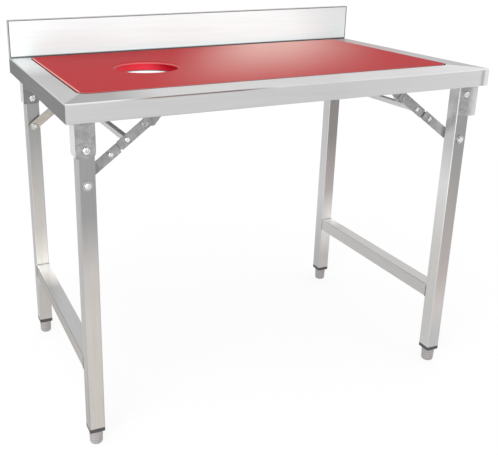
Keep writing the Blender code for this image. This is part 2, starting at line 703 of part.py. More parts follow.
def build_brace_bolt(side, end, carrier):
    """The bolt through a leg, with its washer under the dome, a bush behind the leg and a nut behind the link."""
    washer_in = LEG_IN_Y - GAP - WASHER_SHEET
    bush_in = LEG_IN_Y + TUBE + GAP
    nut_in = LOWER_LINK_IN + LINK_SHEET + GAP
    depths = [LEG_IN_Y - GAP, bush_in, LOWER_LINK_IN - GAP, nut_in + BRACE_NUT_HEIGHT + BOLT_END]
    under_washer, bush_start, bush_stop, tip = [-(depth - washer_in) for depth in depths]
    profile = dome(BRACE_HEAD_RADIUS, BRACE_HEAD_HEIGHT)
    profile += [(WASHER_RADIUS, 0), (WASHER_RADIUS, under_washer), (BRACE_BOLT_RADIUS, under_washer),
                (BRACE_BOLT_RADIUS, bush_start), (BUSH_RADIUS, bush_start), (BUSH_RADIUS, bush_stop),
                (BRACE_BOLT_RADIUS, bush_stop), (BRACE_BOLT_RADIUS, tip), (0, tip)]
    place = (at_x(side, LEG_CENTRE), at_y(end, washer_in), at_z(BRACE_DROP))
    bolt = turned("bolt", profile, place, TOWARDS[end])
    named(bolt, "_".join((END_NAMES[end], SIDE_NAMES[side], "brace_bolt")), BOLT_STEEL, carrier)
    fuse(bolt, hex_nut(side, end, LEG_CENTRE, BRACE_DROP, nut_in, nut_in + BRACE_NUT_HEIGHT, BRACE_NUT_RADIUS))


# Braces

def build_lower_link(side, end, carrier):
    link = strap("link", side, end, -LINK_WIDTH / 2, LOWER_KNEE + LINK_OVERHANG, LINK_WIDTH,
                 LOWER_LINK_IN, True, False)
    named(link, "_".join((END_NAMES[end], SIDE_NAMES[side], "lower_link")), ZINC, carrier)
    drill_on_brace(link, side, end, 0, BRACE_BOLT_RADIUS + GAP, LOWER_LINK_IN)
    drill_on_brace(link, side, end, LOWER_KNEE, RIVET_RADIUS + GAP, LOWER_LINK_IN)


def build_knee(side, carrier):
    """The square tube that joins a frame's two braces, with a knee plate behind the links at each end."""
    inward, drop = on_brace(UPPER_KNEE)
    x, z = at_x(side, inward), at_z(drop)
    loops = []
    for half, corner in ((KNEE_BAR_SIDE / 2, KNEE_BAR_CORNER), (KNEE_BAR_SIDE / 2 - KNEE_BAR_WALL, 0)):
        loops.append(rectangle((x - half, z - half), (x + half, z + half), corner))
    bar = extruded("bar", loops, "XZ", at_y(FRONT, KNEE_BAR_IN), at_y(REAR, KNEE_BAR_IN))
    named(bar, SIDE_NAMES[side] + "_knee_bar", ZINC, carrier)
    half = KNEE_PLATE_WIDTH / 2
    for end in (FRONT, REAR):
        fuse(bar, strap("plate", side, end, LOWER_KNEE - half, UPPER_KNEE + half, KNEE_PLATE_WIDTH,
                        KNEE_PLATE_IN, True, True))
    for end in (FRONT, REAR):
        for along in (LOWER_KNEE, UPPER_KNEE):
            drill_on_brace(bar, side, end, along, RIVET_RADIUS + GAP, KNEE_PLATE_IN)


def knee_rivet(side, end, along, seat_in, collar):
    """A domed rivet from a link's outer face to the knee plate, with a formed tail and maybe a collar."""
    link_back = LINK_SHEET + GAP * 2
    plate_front = KNEE_PLATE_IN - GAP - seat_in
    plate_back = KNEE_PLATE_IN + LINK_SHEET + GAP - seat_in
    profile = dome(RIVET_HEAD_RADIUS, RIVET_HEAD_HEIGHT) + [(RIVET_RADIUS, 0)]
    if collar:
        profile += [(RIVET_RADIUS, -link_back), (RIVET_TAIL_RADIUS, -link_back),
                    (RIVET_TAIL_RADIUS, -plate_front), (RIVET_RADIUS, -plate_front)]
    profile += [(RIVET_RADIUS, -plate_back), (RIVET_TAIL_RADIUS, -plate_back),
                (RIVET_TAIL_RADIUS, -plate_back - RIVET_TAIL_HEIGHT), (0, -plate_back - RIVET_TAIL_HEIGHT)]
    return turned("rivet", profile, brace_world(side, end, along, seat_in), TOWARDS[end])


def build_knee_rivets(side, end, carrier):
    corner = END_NAMES[end] + "_" + SIDE_NAMES[side]
    lower = knee_rivet(side, end, LOWER_KNEE, LOWER_LINK_IN - GAP, True)
    named(lower, corner + "_lower_knee_rivet", BOLT_STEEL, carrier)
    upper = knee_rivet(side, end, UPPER_KNEE, UPPER_LINK_IN - GAP, False)
    named(upper, corner + "_upper_knee_rivet", BOLT_STEEL, carrier)


def build_upper_link(side, end, carrier):
    """The link from the knee to the anchor, whose pivot is a rivet ground flush in its end."""
    link = strap("link", side, end, UPPER_KNEE - LINK_OVERHANG, BRACE_LENGTH + UPPER_LINK_TAIL, LINK_WIDTH,
                 UPPER_LINK_IN, False, False)
    named(link, "_".join((END_NAMES[end], SIDE_NAMES[side], "upper_link")), ZINC, carrier)
    drill_on_brace(link, side, end, UPPER_KNEE, RIVET_RADIUS + GAP, UPPER_LINK_IN)


def build_leg_frame(side):
    """One folding frame with everything that it carries, each moving body on an empty on its axis."""
    name = SIDE_NAMES[side]
    fold = joint_empty(name + "_fold_axis", (at_x(side, LEG_CENTRE), 0, at_z(PIVOT_DROP[side])))
    lower = joint_empty(name + "_lower_link_axis", (at_x(side, LEG_CENTRE), 0, at_z(BRACE_DROP)), fold)
    inward, drop = on_brace(LOWER_KNEE)
    knee = joint_empty(name + "_knee_axis", (at_x(side, inward), 0, at_z(drop)), lower)
    inward, drop = on_brace(UPPER_KNEE)
    upper = joint_empty(name + "_upper_link_axis", (at_x(side, inward), 0, at_z(drop)), knee)
    build_crossbar(side, fold)
    build_knee(side, knee)
    for end in (FRONT, REAR):
        build_leg(side, end, fold)
        build_plug(side, end, fold)
        build_foot(side, end, fold)
        build_brace_bolt(side, end, fold)
        build_lower_link(side, end, lower)
        build_knee_rivets(side, end, knee)
        build_upper_link(side, end, upper)


build_rims()
build_pan()
build_board()
build_splashback()
build_rails()
for table_side in (LEFT, RIGHT):
    for table_end in (FRONT, REAR):
        build_bracket(table_side, table_end)
        build_pivot_bolt(table_side, table_end)
        build_anchor(table_side, table_end)
    build_leg_frame(table_side)
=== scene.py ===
"""Looks of the butcher table: brushed steel, galvanised folding gear and a red board, in a white studio."""
import math

import bpy
from mathutils import Matrix, Vector


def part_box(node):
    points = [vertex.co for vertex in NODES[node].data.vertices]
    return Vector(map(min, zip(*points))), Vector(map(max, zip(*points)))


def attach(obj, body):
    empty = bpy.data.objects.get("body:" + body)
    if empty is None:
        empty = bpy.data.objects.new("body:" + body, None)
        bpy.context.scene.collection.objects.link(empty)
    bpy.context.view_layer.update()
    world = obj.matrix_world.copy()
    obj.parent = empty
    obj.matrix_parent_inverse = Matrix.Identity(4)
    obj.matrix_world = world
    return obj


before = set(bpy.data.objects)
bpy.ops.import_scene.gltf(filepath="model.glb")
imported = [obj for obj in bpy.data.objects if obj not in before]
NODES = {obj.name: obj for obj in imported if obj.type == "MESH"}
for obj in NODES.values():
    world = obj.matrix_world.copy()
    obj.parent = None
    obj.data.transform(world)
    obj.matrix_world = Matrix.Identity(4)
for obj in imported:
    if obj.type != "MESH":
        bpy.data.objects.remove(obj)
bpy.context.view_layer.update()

# Camera, fitted to the table's corners in the photograph
CAMERA_PLACE = (-0.7973, -1.5886, 1.0690)
CAMERA_YAW = math.radians(21.371)
CAMERA_PITCH = math.radians(18.820)
CAMERA_ROLL = math.radians(-0.211)
CAMERA_LENS = 52.527
CAMERA_SHIFT = (0.1586, -0.0853)

# Studio light and floor
WORLD_LIGHT = 0.9
FLOOR_SIZE = 60.0
FLOOR_GLOW = 0.8
FLOOR_WHITE = 1.02
FLOOR_NEAR = 0.9
FLOOR_FAR = 2.4
FLOOR_PAINT = (0.9, 0.9, 0.9, 1)
WHITE = (1, 1, 1, 1)
LAMPS = (
    ("overhead", (-0.4, -0.6, 3.2), (0, 0, 0.6), (3.5, 3.0), 16),
    ("front_fill", (-2.6, -2.6, 1.3), (0, 0.2, 0.7), (2.2, 1.4), 80),
)

SIDES = ("left", "right")
ENDS = ("front", "rear")
CORNERS = [end + "_" + side for side in SIDES for end in ENDS]


def tone(red, green=None, blue=None):
    """A colour in linear light from the 0 to 255 values it shows on a screen."""
    values = (red, red if green is None else green, red if blue is None else blue)
    linear = [v / 255 / 12.92 if v <= 10 else ((v / 255 + 0.055) / 1.055) ** 2.4 for v in values]
    return (*linear, 1.0)


# Shader maths

class Wire:
    """An output socket in a node tree, on which Python's own arithmetic adds Math nodes."""

    def __init__(self, nodes, socket):
        self.nodes = nodes
        self.socket = socket

    def math(self, operation, *others):
        return self.nodes.math(operation, self, *others)

    def __add__(self, other):
        return self.math("ADD", other)

    def __radd__(self, other):
        return self.nodes.math("ADD", other, self)

    def __sub__(self, other):
        return self.math("SUBTRACT", other)

    def __rsub__(self, other):
        return self.nodes.math("SUBTRACT", other, self)

    def __mul__(self, other):
        return self.math("MULTIPLY", other)

    def __rmul__(self, other):
        return self.nodes.math("MULTIPLY", other, self)

    def __truediv__(self, other):
        return self.math("DIVIDE", other)

    def __abs__(self):
        return self.math("ABSOLUTE")

    def swing(self, share):
        """A value that lies around 0.5, brought to lie around 0 and scaled by a share."""
        return (self - 0.5) * share

    def clamped(self):
        return self.nodes.math("MINIMUM", self.math("MAXIMUM", 0.0), 1.0)

    def ramp(self, low, high):
        """0 below low and 1 above high, with a smooth rise between."""
        return self.nodes.add("MapRange", {"interpolation_type": "SMOOTHSTEP"},
                              {"Value": self, "From Min": low, "From Max": high})


class Nodes:
    """A node tree, and the one method that adds a node to it."""

    def __init__(self, tree):
        self.tree = tree
        self.tree.nodes.clear()

    def add(self, kind, settings=None, sockets=None, out=0):
        """A node of a type, with its settings made first and then its sockets' values or links."""
        node = self.tree.nodes.new("ShaderNode" + kind)
        for key, value in (settings or {}).items():
            if key == "stops":
                for stop in value[2:]:
                    node.color_ramp.elements.new(stop[0])
                for element, (place, colour) in zip(node.color_ramp.elements, value):
                    element.position = place
                    element.color = colour
            else:
                setattr(node, key, value)
        for key, value in (sockets or {}).items():
            if isinstance(value, Wire):
                self.tree.links.new(value.socket, node.inputs[key])
            else:
                node.inputs[key].default_value = value
        return Wire(self, node.outputs[out]) if node.outputs else None

    def math(self, operation, *values):
        return self.add("Math", {"operation": operation}, dict(enumerate(values)))

    def mix(self, factor, first, second):
        """A blend of two colours."""
        return self.add("Mix", {"data_type": "RGBA", "clamp_factor": True},
                        {0: factor, 6: first, 7: second}, out=2)

    def stretch(self, vector, factors):
        return self.add("VectorMath", {"operation": "MULTIPLY"}, {0: vector, 1: factors})

    def tones(self, share, stops):
        """A grey or colour from a row of stops, each a share of the way and a tone."""
        row = [(place, tone(*level) if isinstance(level, tuple) else tone(level)) for place, level in stops]
        return self.add("ValToRGB", {"stops": row}, {0: share})

    def lit(self, colour, level):
        """A colour made lighter or darker by a level that is 1 on the whole."""
        return self.add("VectorMath", {"operation": "SCALE"}, {0: colour, "Scale": level})

    def noise(self, vector, scale, detail=2.0):
        return self.add("TexNoise", None, {"Vector": vector, "Scale": scale, "Detail": detail})

    def parts(self, vector):
        """The three numbers of a vector."""
        first = self.add("SeparateXYZ", None, {0: vector})
        outputs = first.socket.node.outputs
        return [Wire(self, outputs[index]) for index in range(3)]


class Finish(Nodes):
    """A material with one Principled shader, its coordinates and its face normals at hand."""

    def __init__(self, name):
        self.material = bpy.data.materials.new(name)
        self.material.use_nodes = True
        super().__init__(self.material.node_tree)
        place = self.add("TexCoord")
        outputs = place.socket.node.outputs
        self.place = Wire(self, outputs["Object"])
        self.facing = Wire(self, outputs["Normal"])
        self.x, self.y, self.z = self.parts(self.place)
        self.face_x, self.face_y, self.face_z = self.parts(self.facing)

    def finish(self, **sockets):
        """Closes the material: socket names are given in words joined by underscores."""
        named = {key.replace("_", " ").title().replace("Ior", "IOR"): value for key, value in sockets.items()}
        shader = self.add("BsdfPrincipled", None, named)
        self.add("OutputMaterial", None, {"Surface": shader})
        return self.material

    def bump(self, height, strength, distance):
        return self.add("Bump", None, {"Strength": strength, "Distance": distance, "Height": height})


# Finishes

BRUSHING = {"x": (1, 0, 0), "y": (0, 1, 0), "z": (0, 0, 1)}
BRUSH_FINE = 700.0
BRUSH_COARSE = 130.0
BRUSH_ALONG = 5.0
STREAK = 0.12
SCRATCH = 0.0003
HALF_WIDTH = 0.5
HALF_DEPTH = 0.3
TOP_HEIGHT = 0.780


def brushing(nodes, along, fine=BRUSH_FINE, coarse=BRUSH_COARSE):
    """Fine and coarse streaks that run along one axis."""
    streaks = []
    for across in (fine, coarse):
        factors = [BRUSH_ALONG if axis else across for axis in BRUSHING[along]]
        streaks.append(nodes.noise(nodes.stretch(nodes.place, factors), 1.0))
    return streaks


def streaked(fine, coarse, coarse_share, cloud, cloud_share):
    """A level of 1 that streaks and clouds make a little lighter or darker in places."""
    return 1.0 + fine.swing(STREAK) + coarse.swing(coarse_share) + cloud.swing(cloud_share)


def along_width(nodes):
    """0 at the table's left end and 1 at its right."""
    return nodes.x / HALF_WIDTH / 2 + 0.5


def along_depth(nodes):
    """0 at the table's front and 1 at its rear."""
    return nodes.y / HALF_DEPTH / 2 + 0.5


SHEET_UPWARD = (0.35, 0.9)
SHEET_CLOUD = 3.2
SHEET_CLOUD_SHARE = 0.1
SHEET_ROUGH = 0.34
SHEET_ROUGH_STREAK = 0.08
SHEET_BUMP = 0.10
CREASE = 3.2
LIP = 0.004
# Painted highlight at the folds of a plain sheet
PLAIN_FOLD_HIGHLIGHT = ((0.0, 226), (1.0, 226))


def brushed_sheet(name, along, top, sides, fold=PLAIN_FOLD_HIGHLIGHT, tint=1.0):
    """Brushed sheet: a row of painted reflection and shade on what faces up, one on what faces sideways, and
    a row of painted highlight and reflection at the folds.

    The rows of tones run along the sheet, from its left or front end to its right or rear end. A tint below
    1 dims what the sheet shows at a slant.
    """
    nodes = Finish(name)
    fine, coarse = brushing(nodes, along)
    cloud = nodes.noise(nodes.place, SHEET_CLOUD, 1.0)
    share = along_width(nodes) if along == "x" else along_depth(nodes)
    # Painted light: what faces up and what faces sideways take their own rows of painted tones
    upward = abs(nodes.face_z).ramp(*SHEET_UPWARD)
    base = nodes.mix(upward, nodes.tones(share, sides), nodes.tones(share, top))
    # Painted fold line: a band just under the top edge, on what faces sideways, also takes the painted fold
    # tones
    painted_fold_line = nodes.z.ramp(TOP_HEIGHT - LIP, TOP_HEIGHT - LIP / 2)
    painted_fold_line = painted_fold_line * (1 - nodes.z.ramp(TOP_HEIGHT, TOP_HEIGHT + LIP))
    painted_fold = (upward * (1 - upward) * CREASE).math("MAXIMUM", painted_fold_line * (1 - upward))
    base = nodes.mix(painted_fold, base, nodes.tones(share, fold))
    level = streaked(fine, coarse, STREAK, cloud, SHEET_CLOUD_SHARE)
    return nodes.finish(base_color=nodes.lit(base, level), metallic=1.0,
                        specular_tint=(tint, tint, tint, 1.0),
                        roughness=SHEET_ROUGH + fine.swing(STREAK) + coarse.swing(SHEET_ROUGH_STREAK),
                        normal=nodes.bump(fine, SHEET_BUMP, SCRATCH))


SPLASH_TOP = 0.874
SPLASH_FACING = (0.5, 0.9)
SPLASH_SLANT = 0.8
SPLASH_STREAK = 0.1
SPLASH_LESS_METAL = 0.95
SPLASH_MORE_ROUGH = 0.26
SPLASH_BACK = tone(192)
SEAM = 0.0034
EDGE_SHADE_TONE = tone(84)


def splash_sheet():
    """The splashback: a pale, duller front in painted reflection, with thin dark lines of painted shade at
    its ends and top and a painted contact shadow at its foot, and brushed steel elsewhere.
    """
    nodes = Finish("splash_steel")
    fine, coarse = brushing(nodes, "x")
    front = (0.0 - nodes.face_y).ramp(*SPLASH_FACING)
    # Painted shade: thin dark lines at the ends and along the top, and a painted contact shadow along the
    # foot
    painted_edge_shade = abs(nodes.x).ramp(HALF_WIDTH - SEAM, HALF_WIDTH - SEAM / 2)
    painted_edge_shade = painted_edge_shade.math("MAXIMUM", nodes.z.ramp(SPLASH_TOP - SEAM, SPLASH_TOP - SEAM / 2))
    painted_edge_shade = painted_edge_shade.math("MAXIMUM", 1 - nodes.z.ramp(TOP_HEIGHT + SEAM / 2, TOP_HEIGHT + SEAM * 1.5))
    # Painted reflection: the front's tones run on a slant across the sheet
    share = along_width(nodes) - (SPLASH_TOP - nodes.z) * SPLASH_SLANT
    face = nodes.mix(painted_edge_shade, nodes.tones(share, SPLASH_FRONT), EDGE_SHADE_TONE)
    level = 1.0 + fine.swing(SPLASH_STREAK) + coarse.swing(SPLASH_STREAK)
    return nodes.finish(base_color=nodes.lit(nodes.mix(front, SPLASH_BACK, face), level),
                        metallic=1.0 - front * SPLASH_LESS_METAL,
                        roughness=SHEET_ROUGH + front * SPLASH_MORE_ROUGH + fine.swing(STREAK),
                        normal=nodes.bump(fine, SHEET_BUMP, SCRATCH))


SPANGLE = 140.0
ZINC_GRAIN = 420.0
ZINC_CLOUD = 60.0
MOTTLE_CRYSTAL = 0.26
MOTTLE_GRAIN = 0.6
MOTTLE_CLOUD = 0.44
MOTTLE_LOSS = 0.15
ZINC_LIGHT = tone(182)
ZINC_DARK = tone(108)
ZINC_SIDE_HIGHLIGHT = tone(212)
ZINC_SIDEWAYS = (0.55, 0.95)
ZINC_SIDE_HIGHLIGHT_SHARE = 0.85
ZINC_HIGHLIGHT_SHARE = 0.7
ZINC_METAL = 0.6
ZINC_ROUGH = 0.37
ZINC_ROUGH_CRYSTAL = 0.16
ZINC_BUMP = 0.12


def galvanised(name, light=ZINC_LIGHT, dark=ZINC_DARK, edge=ZINC_SIDE_HIGHLIGHT, highlight_x=None):
    """Zinc-coated sheet: a mottled spangle of crystals, with a painted highlight where it faces sideways.

    It also takes a painted highlight that grows from the first to the second of two places along x, if they
    are given.
    """
    nodes = Finish(name)
    crystals = nodes.add("TexVoronoi", None, {"Vector": nodes.place, "Scale": SPANGLE}, out="Color")
    first, second = nodes.parts(crystals)[:2]
    grain = nodes.noise(nodes.place, ZINC_GRAIN, 3.0)
    cloud = nodes.noise(nodes.place, ZINC_CLOUD)
    mottle = first * MOTTLE_CRYSTAL + grain * MOTTLE_GRAIN + cloud * MOTTLE_CLOUD - MOTTLE_LOSS
    face = nodes.mix(mottle.clamped(), dark, light)
    # Painted highlight on what faces sideways, and one that grows along x where two places are given
    colour = nodes.mix(abs(nodes.face_x).ramp(*ZINC_SIDEWAYS) * ZINC_SIDE_HIGHLIGHT_SHARE, face, edge)
    if highlight_x:
        colour = nodes.mix(nodes.x.ramp(*highlight_x) * ZINC_HIGHLIGHT_SHARE, colour, edge)
    return nodes.finish(base_color=colour, metallic=ZINC_METAL,
                        roughness=ZINC_ROUGH + second * ZINC_ROUGH_CRYSTAL,
                        normal=nodes.bump(grain + first, ZINC_BUMP, SCRATCH))


TUBE_FINE = 900.0
TUBE_COARSE = 200.0
TUBE_STREAK = 0.16
TUBE_BUMP = 0.08
LEG_LENGTH = 0.75
LEG_FACING = (0.86, 0.995)
LEG_CLOUD = 14.0
LEG_CLOUD_SHARE = 0.05
LEG_ROUGH = 0.38
BAR_UPWARD = (0.3, 0.95)
BAR_CREASE = 2.4
BAR_FOLD_TURN = (-0.2, 0.2)
BAR_FOLD_SHADE_AND_HIGHLIGHT = (tone(128), tone(250))
BAR_CLOUD = 9.0
BAR_CLOUD_SHARE = 0.08
BAR_ROUGH = 0.3


def tube_steel(nodes, base, fine, coarse, cloud, cloud_share, rough):
    """Closes the material of a brushed tube."""
    level = streaked(fine, coarse, TUBE_STREAK, cloud, cloud_share)
    return nodes.finish(base_color=nodes.lit(base, level), metallic=1.0,
                        roughness=rough + coarse.swing(STREAK),
                        normal=nodes.bump(fine, TUBE_BUMP, SCRATCH))


def leg_steel(name, front, sides):
    """Brushed upright tube: a row of painted reflection and shade up its front and rear, one up its sides and
    rounded corners.
    """
    nodes = Finish(name)
    fine, coarse = brushing(nodes, "z", TUBE_FINE, TUBE_COARSE)
    height = nodes.z / LEG_LENGTH
    facing_front = abs(nodes.face_y).ramp(*LEG_FACING)
    base = nodes.mix(facing_front, nodes.tones(height, sides), nodes.tones(height, front))
    cloud = nodes.noise(nodes.place, LEG_CLOUD)
    return tube_steel(nodes, base, fine, coarse, cloud, LEG_CLOUD_SHARE, LEG_ROUGH)


def crossbar_steel(name, top, sides):
    """Brushed level tube: rows of painted reflection and shade along its top and sides, painted shade on the
    left fold and a painted highlight on the right one.
    """
    nodes = Finish(name)
    fine, coarse = brushing(nodes, "y", TUBE_FINE, TUBE_COARSE)
    share = along_depth(nodes)
    upward = abs(nodes.face_z).ramp(*BAR_UPWARD)
    base = nodes.mix(upward, nodes.tones(share, sides), nodes.tones(share, top))
    # Painted shade on the left fold and a painted highlight on the right one
    fold = nodes.mix(nodes.face_x.ramp(*BAR_FOLD_TURN), *BAR_FOLD_SHADE_AND_HIGHLIGHT)
    base = nodes.mix(upward * (1 - upward) * BAR_CREASE, base, fold)
    cloud = nodes.noise(nodes.place, BAR_CLOUD)
    return tube_steel(nodes, base, fine, coarse, cloud, BAR_CLOUD_SHARE, BAR_ROUGH)


WELD_CLOUD = 90.0
WELD_TINT = 35.0
WELD_DARK = tone(138, 136, 134)
WELD_LIGHT = tone(196, 192, 186)
WELD_STRAW = tone(164, 146, 122)
WELD_STRAW_RISE = (0.55, 0.7)
WELD_STRAW_SHARE = 0.5
WELD_ROUGH = 0.34
WELD_ROUGH_CLOUD = 0.2
WELD_BUMP = (0.2, 0.0004)


def weld_steel():
    """Weld metal: dull, with a straw heat tint in places."""
    nodes = Finish("weld_steel")
    cloud = nodes.noise(nodes.place, WELD_CLOUD)
    tint = nodes.noise(nodes.place, WELD_TINT, 1.0)
    base = nodes.mix(cloud, WELD_DARK, WELD_LIGHT)
    colour = nodes.mix(tint.ramp(*WELD_STRAW_RISE) * WELD_STRAW_SHARE, base, WELD_STRAW)
    return nodes.finish(base_color=colour, metallic=1.0, roughness=WELD_ROUGH + cloud.swing(WELD_ROUGH_CLOUD),
                        normal=nodes.bump(cloud, *WELD_BUMP))


PLASTIC_GRAIN = 900.0
PLASTIC_MILLING = (12.0, 420.0, 1.0)
PLASTIC_CLOUD = 5.0
PLASTIC_REDS = (tone(167, 31, 37), tone(179, 38, 44))
PLASTIC_UPWARD = (0.2, 0.9)
PLASTIC_ROUGH = 0.5
PLASTIC_ROUGH_CLOUD = 0.10
PLASTIC_ROUGH_MILLING = 0.06
PLASTIC_IOR = 1.12
PLASTIC_BUMP = (0.12, 0.0002)

# A painted sheen, a pale reflection across the board: a slanting band that grows towards the rear
SHEEN_SLANT = 0.62
SHEEN_WAVER = 0.03
SHEEN_RISE = (-0.20, 0.08)
SHEEN_FALL = (0.12, 0.48)
SHEEN_Y = (-0.42, 0.30)
SHEEN_SHARE = 0.66
SHEEN_TONE = tone(236, 198, 188)

# Painted shade: a darker red band towards the rear, beyond the hole. A painted highlight: a pale line along
# the board's left edge
SHADE_RISE = (-0.46, -0.32)
SHADE_FALL = (-0.20, -0.02)
SHADE_Y = (0.10, 0.26)
SHADE_SHARE = 0.8
SHADE_RED = tone(158, 16, 24)
EDGE_HIGHLIGHT_WIDTH = (0.0025, 0.0045)
EDGE_HIGHLIGHT_SHARE = 0.75
EDGE_HIGHLIGHT = tone(238, 172, 166)

# The board's walls, in painted light: in the hole, lit reds from its left to its right with painted shade
# towards its right and its top, and painted shade round the outside. What lies beyond the hole is told by the
# square of the distance from its centre
HOLE_CENTRE = (-0.227, 0.018)
HOLE_REACH = 0.10
HOLE_BEYOND = (HOLE_REACH ** 2, HOLE_REACH ** 2 * 1.05)
HOLE_LIT_REDS = (tone(214, 74, 78), tone(216, 52, 66))
HOLE_TURN = (-0.07, -0.02)
HOLE_SHADE_X = (0.02, 0.075)
HOLE_SHADE_Z = (0.766, 0.782)
HOLE_SHADE_ABOVE = 0.5
HOLE_SHADE_SHARE = 0.9
HOLE_SHADE_RED = tone(146, 2, 22)
HOLE_EDGE_HIGHLIGHT = 1.2
OUTER_EDGE_HIGHLIGHT_MORE = 1.6
OUTER_WALL_SHADE_RED = tone(92, 14, 18)


def red_plastic():
    """Cutting plastic: red with a milled grain, a pale painted sheen, a darker band of painted shade at the
    rear, a painted highlight on its edges, and painted light and shade on its walls.
    """
    nodes = Finish("red_board")
    grain = nodes.noise(nodes.place, PLASTIC_GRAIN)
    milling = nodes.noise(nodes.stretch(nodes.place, PLASTIC_MILLING), 1.0, 1.0)
    cloud = nodes.noise(nodes.place, PLASTIC_CLOUD)
    face = nodes.mix(cloud, *PLASTIC_REDS)
    # Painted sheen: a pale band across the board
    across = nodes.x - nodes.y * SHEEN_SLANT + cloud * SHEEN_WAVER
    sheen = across.ramp(*SHEEN_RISE) * (1 - across.ramp(*SHEEN_FALL)) * nodes.y.ramp(*SHEEN_Y)
    face = nodes.mix(sheen * SHEEN_SHARE, face, SHEEN_TONE)
    # Painted shade: a darker red towards the rear, beyond the hole
    rear_shade = nodes.y.ramp(*SHADE_Y) * nodes.x.ramp(*SHADE_RISE) * (1 - nodes.x.ramp(*SHADE_FALL))
    face = nodes.mix(rear_shade * SHADE_SHARE, face, SHADE_RED)
    # Painted highlight along the board's left edge
    left_edge_highlight = 1 - (nodes.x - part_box("cutting_board")[0][0]).ramp(*EDGE_HIGHLIGHT_WIDTH)
    face = nodes.mix(left_edge_highlight * EDGE_HIGHLIGHT_SHARE, face, EDGE_HIGHLIGHT)
    level = abs(nodes.face_z).ramp(*PLASTIC_UPWARD)
    from_hole_x, from_hole_y = nodes.x - HOLE_CENTRE[0], nodes.y - HOLE_CENTRE[1]
    from_hole_squared = from_hole_x * from_hole_x + from_hole_y * from_hole_y
    outer = from_hole_squared.ramp(*HOLE_BEYOND)
    inner = nodes.mix(from_hole_x.ramp(*HOLE_TURN), *HOLE_LIT_REDS)
    # Painted shade on the hole's wall, towards its right and near its top
    darker = from_hole_x.ramp(*HOLE_SHADE_X) + nodes.z.ramp(*HOLE_SHADE_Z) * HOLE_SHADE_ABOVE
    inner = nodes.mix(darker * HOLE_SHADE_SHARE, inner, HOLE_SHADE_RED)
    # Walls take the painted wall tones, and their rounded edges a painted highlight
    colour = nodes.mix(1 - level, face, nodes.mix(outer, inner, OUTER_WALL_SHADE_RED))
    colour = nodes.mix(level * (1 - level) * (HOLE_EDGE_HIGHLIGHT + outer * OUTER_EDGE_HIGHLIGHT_MORE), colour, EDGE_HIGHLIGHT)
    rough = PLASTIC_ROUGH + cloud.swing(PLASTIC_ROUGH_CLOUD) + milling.swing(PLASTIC_ROUGH_MILLING)
    return nodes.finish(base_color=colour, metallic=0.0, roughness=rough, ior=PLASTIC_IOR,
                        normal=nodes.bump(grain + milling, *PLASTIC_BUMP))


MOULDED_SKIN = 1200.0
MOULDED_CLOUD = 60.0
MOULDED_ROUGH_CLOUD = 0.1
MOULDED_BUMP = 0.25
SKIN_SHARE = 0.3
GROOVE_SHARE = 0.72
GROOVE_RISE = (0.0, 0.55)
FOOT_RINGS = 900.0


def moulded(name, colour, rough, rings=0.0):
    """Moulded plastic with a fine skin, and turned rings where it has them, with painted shade in their
    grooves.
    """
    nodes = Finish(name)
    grain = nodes.noise(nodes.place, MOULDED_SKIN)
    cloud = nodes.noise(nodes.place, MOULDED_CLOUD)
    # On a foot the darker tone lies in the ring grooves as painted shade; without rings it follows random
    # clouds
    groove = (nodes.z * rings).math("SINE") * 0.5 + 0.5 if rings else cloud
    darker = tuple(channel * GROOVE_SHARE for channel in colour[:3]) + (1.0,)
    return nodes.finish(base_color=nodes.mix(groove.ramp(*GROOVE_RISE), darker, colour), metallic=0.0,
                        roughness=rough + cloud.swing(MOULDED_ROUGH_CLOUD),
                        normal=nodes.bump(grain * SKIN_SHARE + groove, MOULDED_BUMP, SCRATCH))


BOLT_CLOUD = 260.0
BOLT_LOBES = 420.0
BOLT_FLAT = (0.93, 1.0)
SIDE_LOBES = (0.36, 0.5)
END_LOBES = (0.42, 0.58)
BOLT_SHADE = tone(138)
BOLT_HIGHLIGHT = tone(238)
BOLT_GLINT = tone(245)
GLINT_SHARE = 0.3
BOLT_ROUGH = 0.2
BOLT_ROUGH_CLOUD = 0.12
BOLT_BUMP = (0.12, 0.0004)
BRACE_HEAD = 0.0044
WASHER_BLEND = 0.0006
WASHER_TONE = tone(168)


def bright_steel(name, end, low=BOLT_SHADE, high=BOLT_HIGHLIGHT, washer=None):
    """Plated fasteners: painted highlights and shade, in blotches from a low to a high tone, and from the end
    tone to the high one on flat ends.

    Nearer than washer to the table's middle, front to rear, the tone is a washer's even grey.
    """
    nodes = Finish(name)
    cloud = nodes.noise(nodes.place, BOLT_CLOUD)
    lobes = nodes.noise(nodes.place, BOLT_LOBES, 1.0)
    flat = abs(nodes.face_y).ramp(*BOLT_FLAT)
    # Painted highlights and shade in blotches on the heads and their flat ends
    base = nodes.mix(flat, nodes.mix(lobes.ramp(*SIDE_LOBES), low, high),
                     nodes.mix(lobes.ramp(*END_LOBES), end, high))
    if washer:
        base = nodes.mix(1 - abs(nodes.y).ramp(washer, washer + WASHER_BLEND), base, WASHER_TONE)
    return nodes.finish(base_color=nodes.mix(cloud * GLINT_SHARE, base, BOLT_GLINT), metallic=1.0,
                        roughness=BOLT_ROUGH + cloud.swing(BOLT_ROUGH_CLOUD),
                        normal=nodes.bump(lobes, *BOLT_BUMP))


# Rows of tones, from the left, front or lower end of a piece: share of its length, then tone. Where a row's
# tone changes along a piece, the change is painted reflection, highlight and shade.
FRONT_TOP = ((0.0, 152), (0.1, 158), (0.2, 204), (0.8, 208), (1.0, 224))
# Painted highlight along the front fold, with a painted reflection of the red board on its darker stretch
FRONT_FOLD_REFLECTION = ((0.1, 232), (0.18, (140, 118, 114)), (0.36, (112, 94, 90)), (0.45, 214), (1.0, 238))
FRONT_APRON = ((0.0, 204), (0.6, 202), (0.976, 212), (0.984, 168), (0.99, 226))
LEFT_TOP = ((0.5, 207), (0.72, 250), (1.0, 255))
